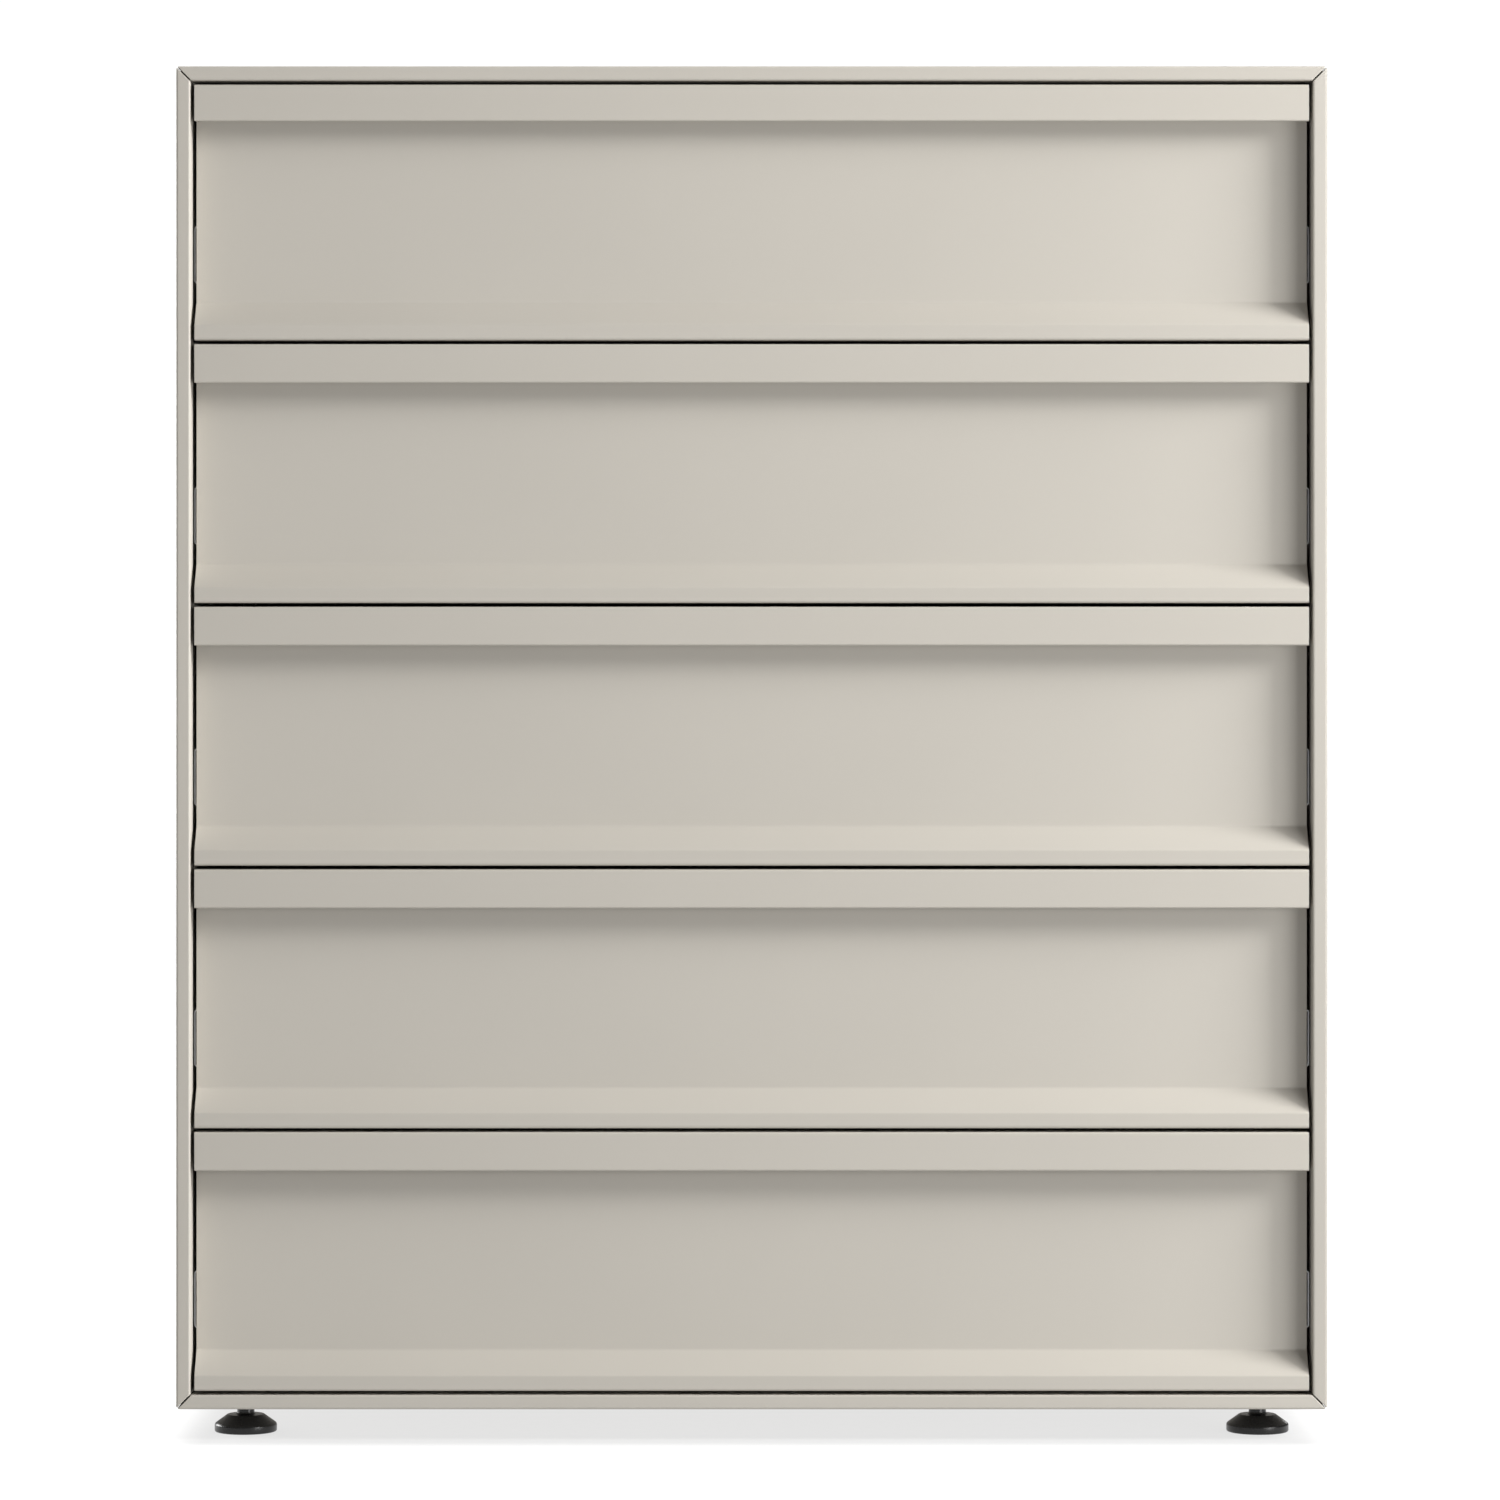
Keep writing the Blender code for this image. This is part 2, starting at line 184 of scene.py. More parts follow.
def zinc(name, grain):
    """Bright zinc on rolled strip: drawn streaks along the length, a cloudy passivation tint, scuffed roughness."""
    m, t, s = new_material(name)
    v = scaled(t, grain)
    streak = noise(t, v, 900.0, 3.0, 0.6)
    cloud = noise(t, scaled(t, (1, 1, 1)), 38.0, 3.0, 0.55)
    mix = maths(t, "ADD", maths(t, "MULTIPLY", streak, 0.4), maths(t, "MULTIPLY", cloud, 0.6))
    c = ramp(t, mix, [(0.30, (0.53, 0.55, 0.58)), (0.52, (0.66, 0.67, 0.68)), (0.75, (0.72, 0.70, 0.66))])
    t.links.new(c.outputs[0], s.inputs["Base Color"])
    r = ramp(t, mix, [(0.3, (0.26,) * 3), (0.75, (0.42,) * 3)])
    t.links.new(r.outputs[0], s.inputs["Roughness"])
    s.inputs["Metallic"].default_value = 1.0
    bump(t, s, streak, 0.00002, 0.4)
    return m


def moulded(name, colour, roughness, grain=0.35):
    """Injection-moulded nylon: fine spark-eroded grain and slightly polished high spots."""
    m, t, s = new_material(name)
    v = scaled(t, (1, 1, 1))
    fine = noise(t, v, 3200.0, 2.0, 0.6)
    broad = noise(t, v, 120.0, 3.0, 0.5)
    c = ramp(t, broad, [(0.3, tint(colour, 0.8)), (0.7, tint(colour, 1.25))])
    t.links.new(c.outputs[0], s.inputs["Base Color"])
    r = ramp(t, maths(t, "ADD", maths(t, "MULTIPLY", fine, 0.5), maths(t, "MULTIPLY", broad, 0.5)),
             [(0.3, (roughness - 0.05,) * 3), (0.7, (roughness + 0.08,) * 3)])
    t.links.new(r.outputs[0], s.inputs["Roughness"])
    bump(t, s, fine, 0.00003, grain)
    return m


COAT = powder_coat("powder_coat", PUTTY)
COAT_IN = powder_coat("powder_coat_inside", tint(PUTTY, 0.97), 0.5)
ZINC = zinc("zinc_rolled", (1.0, 0.03, 1.0))
ZINC_TURNED = zinc("zinc_turned", (1.0, 1.0, 1.0))
NYLON = moulded("nylon_black", (0.0045, 0.0045, 0.0048), 0.27, 0.2)
SCREW = zinc("screw_steel", (1.0, 1.0, 1.0))
BALL, _t, _s = new_material("ball_steel")
_v = scaled(_t, (1, 1, 1))
_c = ramp(_t, noise(_t, _v, 700.0, 2.0), [(0.3, (0.60, 0.60, 0.61)), (0.7, (0.72, 0.72, 0.73))])
_t.links.new(_c.outputs[0], _s.inputs["Base Color"])
_r = ramp(_t, noise(_t, _v, 1500.0, 2.0), [(0.3, (0.10,) * 3), (0.7, (0.2,) * 3)])
_t.links.new(_r.outputs[0], _s.inputs["Roughness"])
_s.inputs["Metallic"].default_value = 1.0


# ------------------------------------------------------------------ profiles
def arc_at(corner, before, after, radius, side, thickness, steps):
    p, a, b = Vector(corner), Vector(before), Vector(after)
    d1, d2 = (p - a).normalized(), (b - p).normalized()
    turn = d1.x * d2.y - d1.y * d2.x
    angle = math.atan2(turn, d1.dot(d2))
    reach = radius * math.tan(abs(angle) / 2)
    left = Vector((-d1.y, d1.x))
    sign = 1 if angle > 0 else -1
    centre = p - d1 * reach + left * radius * sign
    near = sign == side
    other = radius - thickness if near else radius + thickness
    face, back = [], []
    for k in range(steps + 1):
        a_k = angle * k / steps
        out = -left * sign
        out = Vector((out.x * math.cos(a_k) - out.y * math.sin(a_k), out.x * math.sin(a_k) + out.y * math.cos(a_k)))
        face.append(centre + out * radius)
        back.append(centre + out * other)
    return face, back


def sheet_lines(path, side, thickness, steps):
    """The visible face's line and the other face's line of a folded sheet."""
    face, back = [], []
    last = len(path) - 1
    for i, entry in enumerate(path):
        here = Vector(entry[:2])
        if i in (0, last):
            along = (Vector(path[1][:2]) - here) if i == 0 else (here - Vector(path[i - 1][:2]))
            along.normalize()
            face.append(here)
            back.append(here + Vector((-along.y, along.x)) * side * thickness)
        else:
            f, b = arc_at(here, path[i - 1][:2], path[i + 1][:2], entry[2], side, thickness, steps)
            face += f
            back += b
    return face, back


def sheet_section(path, side, thickness, steps=8):
    face, back = sheet_lines(path, side, thickness, steps)
    return face + back[::-1]


def rounded(path, steps=8):
    out = []
    n = len(path)
    for i, entry in enumerate(path):
        if len(entry) == 2:
            out.append(Vector(entry))
        else:
            f, _ = arc_at(entry[:2], path[i - 1][:2], path[(i + 1) % n][:2], entry[2], 1, 0.0, steps)
            out += f
    return out


# ------------------------------------------------------------------ meshes
def to_mesh(bm, name):
    bmesh.ops.recalc_face_normals(bm, faces=bm.faces)
    mesh = bpy.data.meshes.new(name)
    bm.to_mesh(mesh)
    bm.free()
    return mesh


def loft(name, rings):
    """Closed solid through rings of equal length, capped at both ends. Points are in mm."""
    bm = bmesh.new()
    vs = [[bm.verts.new(Vector(p) * MM) for p in ring] for ring in rings]
    bm.faces.new(vs[0])
    bm.faces.new(vs[-1][::-1])
    for a, b in zip(vs, vs[1:]):
        n = len(a)
        for i in range(n):
            j = (i + 1) % n
            bm.faces.new((a[i], b[i], b[j], a[j]))
    return to_mesh(bm, name)


def prism(name, outline, place, start, end):
    return loft(name, [[place(p.x, p.y, start) for p in outline], [place(p.x, p.y, end) for p in outline]])


def turned(name, profile, steps, thread=None):
    """Solid of revolution about Z; profile runs from the axis, out and up, back to the axis."""
    bm = bmesh.new()
    rings = []
    for r, z in profile:
        if r < 1e-6:
            rings.append([bm.verts.new((0, 0, z * MM))])
        else:
            rings.append([bm.verts.new((r * MM * math.cos(2 * math.pi * k / steps), r * MM * math.sin(2 * math.pi * k / steps), z * MM)) for k in range(steps)])
    for a, b in zip(rings, rings[1:]):
        for k in range(steps):
            m = (k + 1) % steps
            if len(a) == 1:
                bm.faces.new((a[0], b[m], b[k]))
            elif len(b) == 1:
                bm.faces.new((a[k], a[m], b[0]))
            else:
                bm.faces.new((a[k], a[m], b[m], b[k]))
    return to_mesh(bm, name)


def boolean(mesh, cutters, name):
    """mesh less each cutter, made real."""
    scene = bpy.context.scene.collection
    o = bpy.data.objects.new(name + "_work", mesh)
    scene.objects.link(o)
    helpers = []
    for i, c in enumerate(cutters):
        h = bpy.data.objects.new(f"{name}_cutter_{i}", c)
        scene.objects.link(h)
        helpers.append(h)
        cut = o.modifiers.new(f"cut_{i}", "BOOLEAN")
        cut.operation, cut.solver, cut.object = "DIFFERENCE", "EXACT", h
    bpy.context.view_layer.update()
    result = bpy.data.meshes.new_from_object(o.evaluated_get(bpy.context.evaluated_depsgraph_get()))
    result.name = name
    bpy.data.objects.remove(o, do_unlink=True)
    for h in helpers:
        bpy.data.objects.remove(h, do_unlink=True)
    return result


def softened(mesh, width, angle=35.0, segments=2):
    """mesh with its sharp edges rounded to width mm and weighted normals, made real."""
    mesh.shade_smooth()
    o = bpy.data.objects.new(mesh.name + "_work", mesh)
    bpy.context.scene.collection.objects.link(o)
    if width:
        b = o.modifiers.new("edge", "BEVEL")
        b.width, b.segments, b.limit_method, b.angle_limit = width * MM, segments, "ANGLE", math.radians(angle)
        b.profile = 0.5
        b.use_clamp_overlap = True
        b.harden_normals = False
    w = o.modifiers.new("normals", "WEIGHTED_NORMAL")
    w.keep_sharp = False
    w.weight = 60
    bpy.context.view_layer.update()
    result = bpy.data.meshes.new_from_object(o.evaluated_get(bpy.context.evaluated_depsgraph_get()))
    result.name = mesh.name + "_soft"
    bpy.data.objects.remove(o, do_unlink=True)
    return result


def piece(name, mesh, place, look, body):
    """One visual piece at place (mm), riding on a CAD body."""
    o = bpy.data.objects.new(name, mesh)
    bpy.context.scene.collection.objects.link(o)
    o.location = Vector(place) * MM
    if not mesh.materials:
        mesh.materials.append(look)
    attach(o, body)
    return o


def merged(name, parts):
    """Several closed meshes in one, each moved by its matrix."""
    bm = bmesh.new()
    for mesh, matrix in parts:
        before = len(bm.verts)
        bm.from_mesh(mesh)
        bm.verts.ensure_lookup_table()
        bmesh.ops.transform(bm, matrix=matrix, verts=bm.verts[before:])
    out = bpy.data.meshes.new(name)
    bm.to_mesh(out)
    bm.free()
    out.shade_smooth()
    return out


def at(x, y, z):
    return Matrix.Translation(Vector((x, y, z)) * MM)


# ------------------------------------------------------------------ case panels
PANEL_PATH = [
    (-REAR_FLANGE, REAR_Y), (0, REAR_Y, EDGE_R), (0, FRONT_Y, EDGE_R), (-FLANGE, FRONT_Y, EDGE_R - 0.2), (-FLANGE, FRONT_Y + RETURN),
]
PANEL_FACE, PANEL_BACK = sheet_lines(PANEL_PATH, -1, SHEET, 8)


def panel_mesh(name, half, place, cutters=()):
    """A folded panel: 45 degree ends with eased edges, and its share of the case's rounded long corners."""
    full = CORNER_R * (1 - math.cos(math.pi / 4))

    def end_gap(y):
        near = min(1.0, max(0.0, (FRONT_Y + EDGE_R - y) / EDGE_R))
        return MITRE + (FRONT_MITRE - MITRE) * near

    def ring(sign, off):
        phi = math.asin(max(0.0, math.sin(math.pi / 4) - off / CORNER_R))
        drop = CORNER_R * (1 - math.cos(phi))
        depth = off * math.cos(math.pi / 4)
        ease = 0.0 if depth >= MITRE_EDGE else MITRE_EDGE * (1 - math.sqrt(1 - (1 - depth / MITRE_EDGE) ** 2))
        face, back = [], []
        for f, b in zip(PANEL_FACE, PANEL_BACK):
            pair = []
            for p, t in ((f, 0.0), (b, SHEET)):
                n = min(p.x, -drop - t)
                n_end = min(p.x, -full - t)
                pair.append(Vector((n, p.y, sign * (half + n_end - end_gap(f.y) - off))))
            face.append(pair[0].lerp(pair[1], ease / SHEET))
            back.append(pair[1].lerp(pair[0], ease / SHEET))
        return [place(*p) for p in face + back[::-1]]

    reach = CORNER_R * math.sin(math.pi / 4)
    offs = [0.0, 0.05, 0.14, 0.28, 0.48, MITRE_EDGE / math.cos(math.pi / 4), 1.1, 1.5, reach]
    rings = [ring(-1, v) for v in offs] + [ring(1, v) for v in offs[::-1]]
    body = loft(name, rings)
    if cutters:
        body = boolean(body, cutters, name)
    return softened(body, 0.2, angle=60.0)


def replaced(o, *nodes):
    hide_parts(*nodes)
    return o


replaced(piece("case_side_left", panel_mesh("case_side_left", HALF_H, lambda n, y, s: (-n, y, s)), (-CASE_X, 0, MID_Z), COAT, "case"), "left_side_panel")
replaced(piece("case_side_right", panel_mesh("case_side_right", HALF_H, lambda n, y, s: (n, y, s)), (CASE_X, 0, MID_Z), COAT, "case"), "right_side_panel")
replaced(piece("case_top", panel_mesh("case_top", CASE_X, lambda n, y, s: (s, y, n)), (0, 0, CASE_TOP), COAT, "case"), "top_panel")

foot_nodes = [f"{e}_{s}_foot" for e in ("front", "rear") for s in ("left", "right")]
foot_at = {}
for f in foot_nodes:
    lo, hi = mm_box(f + "_base")
    foot_at[f] = Vector(((lo.x + hi.x) / 2, (lo.y + hi.y) / 2, 0))
stud_hole = turned("stud_hole", [(0, -6), (5.7, -6), (5.7, 6), (0, 6)], 40)
bottom = panel_mesh("case_bottom", CASE_X, lambda n, y, s: (s, y, -n), [merged("stud_holes", [(stud_hole, at(p.x, p.y, 0)) for p in foot_at.values()])])
replaced(piece("case_bottom", bottom, (0, 0, CASE_BOTTOM), COAT, "case"), "bottom_panel")

# ------------------------------------------------------------------ screws and other small hardware
def screw_mesh(name, radius, height, flat=0.0):
    """Head with a cross recess: a pan head on z = 0, or a countersunk one flat mm deep with its top at z = 0."""
    if flat:
        prof = [(0, -flat), (radius - flat + 0.1, -flat), (radius - 0.12, -0.16), (radius, -0.05), (radius - 0.06, 0), (0, 0)]
    else:
        prof = [(0, 0), (radius, 0), (radius, height * 0.28)]
        for k in range(1, 6):
            a = math.pi / 2 * k / 6
            prof.append((radius * (0.32 + 0.68 * math.cos(a)), height * (0.28 + 0.72 * math.sin(a))))
        prof += [(radius * 0.32, height), (0, height)]
    head = turned(name, prof, 28)
    arms = []
    for a in (0, math.pi / 2):
        w, l, d = radius * 0.15, radius * 0.56, max(height * 0.62, flat * 0.7)
        outline = [(-l, -w), (l, -w), (l, w), (-l, w)]
        low = [Vector((x * 0.35 * math.cos(a) - y * math.sin(a) * 0.8, x * 0.35 * math.sin(a) + y * math.cos(a) * 0.8, height - d)) for x, y in outline]
        high = [Vector((x * math.cos(a) - y * math.sin(a), x * math.sin(a) + y * math.cos(a), height + 0.3)) for x, y in outline]
        arms.append(loft("arm", [low, high]))
    out = boolean(head, arms, name)
    out.shade_smooth()
    out.set_sharp_from_angle(angle=math.radians(32))
    return out


SMALL_PAN = screw_mesh("screw_small", 3.3, 1.9)


def turned_to(axis):
    """Rotation that takes +Z to axis."""
    return Vector((0, 0, 1)).rotation_difference(Vector(axis)).to_matrix().to_4x4()


# back panel: flat sheet with small corner radii, held by countersunk screws round its edge
bx, bz0, bz1 = back_hi.x, back_lo.z - MID_Z, back_hi.z - MID_Z
back_outline = rounded([(-bx, bz0, 6), (bx, bz0, 6), (bx, bz1, 6), (-bx, bz1, 6)], 8)
back_points = [(sx * (bx - 8.5), bz0 + 45 + (bz1 - bz0 - 90) * k / 5) for sx in (-1, 1) for k in range(6)]
back_points += [(-bx + 150 + (2 * bx - 300) * k / 3, z) for z in (bz0 + 8.5, bz1 - 8.5) for k in range(4)]
TO_REAR = turned_to((0, 1, 0))
sink = turned("sink", [(0, -2.5), (2.45, -2.5), (2.45, -1.35), (4.05, 0.15), (4.05, 1.5), (0, 1.5)], 32)
back_body = boolean(prism("case_back", back_outline, lambda x, z, y: (x, y, z), -SHEET, 0),
                    [merged("sinks", [(sink, at(x, 0, z) @ TO_REAR) for x, z in back_points])], "case_back")
replaced(piece("case_back", softened(back_body, 0.2, 60, 1), (0, BACK_Y, MID_Z), COAT, "case"), "back_panel")

FLAT_HEAD = screw_mesh("screw_flat", 3.75, 0.0, flat=1.15)
back_screw_mesh = merged("back_screws", [(FLAT_HEAD, at(x, -0.06, z) @ TO_REAR @ Matrix.Rotation(1.3 * k, 4, "Z")) for k, (x, z) in enumerate(back_points)])
back_screw_mesh.set_sharp_from_angle(angle=math.radians(32))
piece("case_back_screws", back_screw_mesh, (0, BACK_Y, MID_Z), SCREW, "case")

# ------------------------------------------------------------------ posts and rails
for name in ("front_left_post", "rear_left_post", "front_right_post", "rear_right_post", "left_base_rail", "right_base_rail"):
    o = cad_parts[name]
    o.data.materials.clear()
    o.data.materials.append(COAT_IN)
    b = o.modifiers.new("edge", "BEVEL")
    b.width, b.segments, b.limit_method, b.angle_limit = 0.25 * MM, 1, "ANGLE", math.radians(50)

# ------------------------------------------------------------------ feet
foot_base = turned("foot_base", [
    (0, 0), (21.5, 0), (22.0, 0.25), (22.6, 0.25), (23.1, 0), (23.7, 0), (24.4, 0.25), (24.82, 0.7), (25.0, 1.3),
    (25.0, 5.2), (24.95, 5.7), (24.75, 6.25), (24.4, 6.75), (23.9, 7.25), (23.2, 7.8), (19.5, 10.45), (16.6, 12.55), (15.9, 13.05),
    (15.5, 13.35), (15.15, 13.6), (14.8, 13.8), (14.3, 13.92), (13.6, 13.96), (9.2, 13.96), (8.5, 14.05), (7.8, 14.35), (7.3, 14.8), (7.03, 15.4), (6.95, 16.2),
    (6.95, 24.5), (6.75, 24.9), (6.45, 25.1), (5.4, 25.1), (5.3, 25.0), (5.3, 6.0), (0, 6.0),
], 96)
foot_base.shade_smooth()
foot_base.set_sharp_from_angle(angle=math.radians(40))


def threaded_stud(name, z0, z1, major, pitch, steps=28):
    """Stud with a cut helical thread, rounded tip, flat foot."""
    bm = bmesh.new()
    depth = 0.54 * pitch
    sub = 6
    rows = int((z1 - z0) / (pitch / sub))
    rings = []
    for i in range(rows + 1):
        z = z0 + (z1 - z0) * i / rows
        ring = []
        for k in range(steps):
            a = 2 * math.pi * k / steps
            ph = ((z - z0) / pitch - k / steps) % 1.0
            tri = abs(2 * ph - 1)
            tri = min(1.0, max(0.0, (tri - 0.12) / 0.76))
            r = major - depth * (1 - tri)
            edge = min(z - z0, z1 - z)
            if edge < 1.2:
                r = min(r, major - (1.2 - edge) * 0.9)
            ring.append(bm.verts.new((r * MM * math.cos(a), r * MM * math.sin(a), z * MM)))
        rings.append(ring)
    for a, b in zip(rings, rings[1:]):
        for k in range(steps):
            m = (k + 1) % steps
            bm.faces.new((a[k], a[m], b[m], b[k]))
    bm.faces.new(rings[0][::-1])
    bm.faces.new(rings[-1])
    mesh = to_mesh(bm, name)
    mesh.shade_smooth()
    mesh.set_sharp_from_angle(angle=math.radians(42))
    return mesh


stud_lo, stud_hi = mm_box("front_left_foot_stud")
stud = threaded_stud("foot_stud", stud_lo.z, stud_hi.z, (stud_hi.x - stud_lo.x) / 2, 1.5)

hex_outline = [Vector((8.5 / math.cos(math.pi / 6) * math.cos(math.pi / 3 * k), 8.5 / math.cos(math.pi / 6) * math.sin(math.pi / 3 * k))) for k in range(6)]
nut_body = prism("foot_nut", hex_outline, lambda u, v, z: (u, v, z), 0, 7.6)
nut = softened(boolean(nut_body, [turned("nut_bore", [(0, -2), (5.25, -2), (5.25, 10), (0, 10)], 36)], "foot_nut"), 0.35)
rail_top = mm_box("left_base_rail")[1].z
for f in foot_nodes:
    p = foot_at[f]
    replaced(piece(f + "_glide", foot_base, p, NYLON, f), f + "_base")
    replaced(piece(f + "_screw_stud", stud, p, ZINC_TURNED, f), f + "_stud")
    piece(f + "_nut", nut, (p.x, p.y, rail_top + 0.1), ZINC_TURNED, "case")

# ------------------------------------------------------------------ drawer fronts
def front_pieces(n):
    lo, hi = mm_box(f"drawer_{n}_front")
    fx, face_y, z0, height, deep = hi.x, lo.y, lo.z, hi.z - lo.z, hi.y - lo.y
    pull, t = PULL[n], FRONT_T
    key = (round(height, 1), round(deep, 1))
    if key not in FRONT_CACHE:
        shell = sheet_section([
            (deep, 0), (0, 0, BEND_R), (0, LIP_H, BEND_R), (RECESS, LIP_H + LEDGE_H, 3.0), (RECESS, height - t - 0.05),
        ], -1, t, 9)
        hook = sheet_section([
            (deep, height), (0, height, BEND_R), (0, height - pull, 1.45), (2.9, height - pull, 1.45), (2.9, height - pull + 9),
        ], 1, 1.35, 9)
        slope = math.atan2(RECESS, LEDGE_H)
        rise = t * math.tan(slope / 2)
        inset = 0.08
        behind = rounded([
            (t + inset, t + inset, BEND_R - t), (deep - 0.3, t + inset), (deep - 0.3, height - t - inset), (RECESS + t + inset, height - t - inset),
            (RECESS + t + inset, LIP_H + LEDGE_H - rise, 3.0 + t), (t + inset, LIP_H - rise, BEND_R - t),
        ], 6)
        pocket = rounded([(3.2, height - pull + 0.6), (RECESS - inset, height - pull + 0.6), (RECESS - inset, height - t - inset), (3.2, height - t - inset)], 6)
        run = lambda y, z, x: (x, y, z)
        FRONT_CACHE[key] = {
            "shell": softened(prism(f"front_shell_{n}", shell, run, -fx, fx), 0.3),
            "hook": softened(prism(f"front_hook_{n}", hook, run, -fx, fx), 0.3),
            "behind": softened(prism(f"front_end_{n}", behind, run, -t / 2, t / 2), 0.15),
            "pocket": softened(prism(f"front_pocket_{n}", pocket, run, -t / 2, t / 2), 0.15),
        }
    made = FRONT_CACHE[key]
    body = f"drawer_{n}"
    here = (0, face_y, z0)
    shell = piece(f"drawer_{n}_face_sheet", made["shell"], here, COAT, body)
    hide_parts(f"drawer_{n}_front")
    piece(f"drawer_{n}_pull", made["hook"], here, COAT, body)
    for side, sx in (("left", -1), ("right", 1)):
        x = sx * (fx - FRONT_T / 2 - 0.4)
        piece(f"drawer_{n}_{side}_end_plate", made["behind"], (x, face_y, z0), COAT, body)
        piece(f"drawer_{n}_{side}_pull_end", made["pocket"], (x, face_y, z0), COAT, body)


FRONT_CACHE = {}

# ------------------------------------------------------------------ trays
tray_lo, tray_hi = mm_box("drawer_3_tray")
TX, TD, TH = tray_hi.x, tray_hi.y - tray_lo.y, tray_hi.z - tray_lo.z
HEM = 2.5
pan_section = sheet_section([
    (-TX + HEM, TH - 9), (-TX + HEM, TH, 1.25), (-TX, TH, 1.25), (-TX, 0, 2.2), (TX, 0, 2.2), (TX, TH, 1.25), (TX - HEM, TH, 1.25), (TX - HEM, TH - 9),
], 1, 1.15, 6)
pan = softened(prism("tray_pan", pan_section, lambda x, z, y: (x, y, z), 0.0, TD), 0.2)
wall_section = sheet_section([
    (12, 1.3), (0, 1.3, 2.2), (0, TH - 0.1, 1.25), (HEM, TH - 0.1, 1.25), (HEM, TH - 9),
], -1, 1.15, 6)
wall = softened(prism("tray_wall", wall_section, lambda y, z, x: (x, y, z), -TX + HEM + 0.15, TX - HEM - 0.15), 0.2)
back_wall = softened(prism("tray_back_wall", wall_section, lambda y, z, x: (x, -y, z), -TX + HEM + 0.15, TX - HEM - 0.15), 0.2)

tray_screws = []
for k in range(7):
    x = -TX + 70 + (2 * TX - 140) * k / 6
    for z in (34, 118):
        tray_screws.append((SMALL_PAN, at(x, 1.3, z) @ turned_to((0, 1, 0)) @ Matrix.Rotation(0.9 * k + z, 4, "Z")))
slide_c = mm_box("drawer_3_left_slide_inner")
SLIDE_Y0, SLIDE_Y1 = slide_c[0].y, slide_c[1].y
SLIDE_UP = (slide_c[0].z + slide_c[1].z) / 2 - tray_lo.z
for sx in (-1, 1):
    for k, y in enumerate((30, 190, 350, 510)):
        tray_screws.append((SMALL_PAN, at(sx * (TX - 1.2), y, SLIDE_UP) @ turned_to((-sx, 0, 0)) @ Matrix.Rotation(0.8 * k + sx, 4, "Z")))
tray_screws_mesh = merged("tray_screws", tray_screws)
tray_screws_mesh.set_sharp_from_angle(angle=math.radians(32))

# ------------------------------------------------------------------ slides
def channel_mesh(name, web_u, tip_u, height, way, slots, lip):
    """Rolled channel with in-turned lips and slots in its web. u runs from the post to the tray."""
    side = -1 if tip_u > web_u else 1
    back = 0.9 * (1 if tip_u > web_u else -1)
    h = height / 2
    section = sheet_section([
        (tip_u - back, -h + lip), (tip_u, -h + lip * 0.35, 0.9), (tip_u - 2.2 * back, -h, 1.5), (web_u, -h, 2.4),
        (web_u, h, 2.4), (tip_u - 2.2 * back, h, 1.5), (tip_u, h - lip * 0.35, 0.9), (tip_u - back, h - lip),
    ], side, 1.1 if name != "middle" else 1.0, 5)
    body = prism(name, section, lambda u, v, y: (way * u, y, v), 0, SLIDE_Y1 - SLIDE_Y0)
    cutters = []
    for y, long in slots:
        outline = []
        for k in range(17):
            a = math.pi * k / 16 - math.pi / 2
            outline.append(Vector((y + long / 2 + 2.3 * math.cos(a), 2.3 * math.sin(a))))
        for k in range(17):
            a = math.pi * k / 16 + math.pi / 2
            outline.append(Vector((y - long / 2 + 2.3 * math.cos(a), 2.3 * math.sin(a))))
        cutters.append(prism("slot", outline, lambda yy, v, u: (way * u, yy, v), web_u - 3, web_u + 3))
    if cutters:
        body = boolean(body, [merged("slots", [(c, Matrix.Identity(4)) for c in cutters])], name)
    return softened(body, 0.15, 40)


SLIDES = {}
for side, way in (("left", 1), ("right", -1)):
    SLIDES[side, "outer"] = channel_mesh("outer", 0.0, 10.8, OUTER_H, way, [(22, 6), (155, 0), (290, 6), (430, 0), (536, 6)], 3.4)
    SLIDES[side, "middle"] = channel_mesh("middle", 2.0, 10.8, MIDDLE_H, way, [(30, 4), (265, 10), (520, 4)], 3.0)
    SLIDES[side, "inner"] = channel_mesh("inner", SLIDE_W, 4.0, INNER_H, way, [(34, 5), (194, 5), (354, 5), (514, 5)], 2.8)

ball = bpy.data.meshes.new("ball")
_b = bmesh.new()
bmesh.ops.create_uvsphere(_b, u_segments=14, v_segments=8, radius=1.95 * MM)
_b.to_mesh(ball)
_b.free()
ball.shade_smooth()


def cage_mesh(name, way, v, u0, u1, y0, length, pitch=13.0):
    """Flat strip with a round window at each ball."""
    outline = rounded([(u0, v - 0.35, 0.15), (u1, v - 0.35, 0.15), (u1, v + 0.35, 0.15), (u0, v + 0.35, 0.15)], 3)
    body = prism(name, outline, lambda u, w, y: (way * u, y, w), y0, y0 + length)
    holes, balls = [], []
    uc = (u0 + u1) / 2
    count = int((length - 8) // pitch) + 1
    for k in range(count):
        y = y0 + length / 2 + (k - (count - 1) / 2) * pitch
        h = turned("window", [(0, -2), (2.05, -2), (2.05, 2), (0, 2)], 16)
        holes.append((h, at(way * uc, y, v)))
        balls.append((ball, at(way * uc, y, v)))
    return boolean(body, [merged("windows", holes)], name), balls


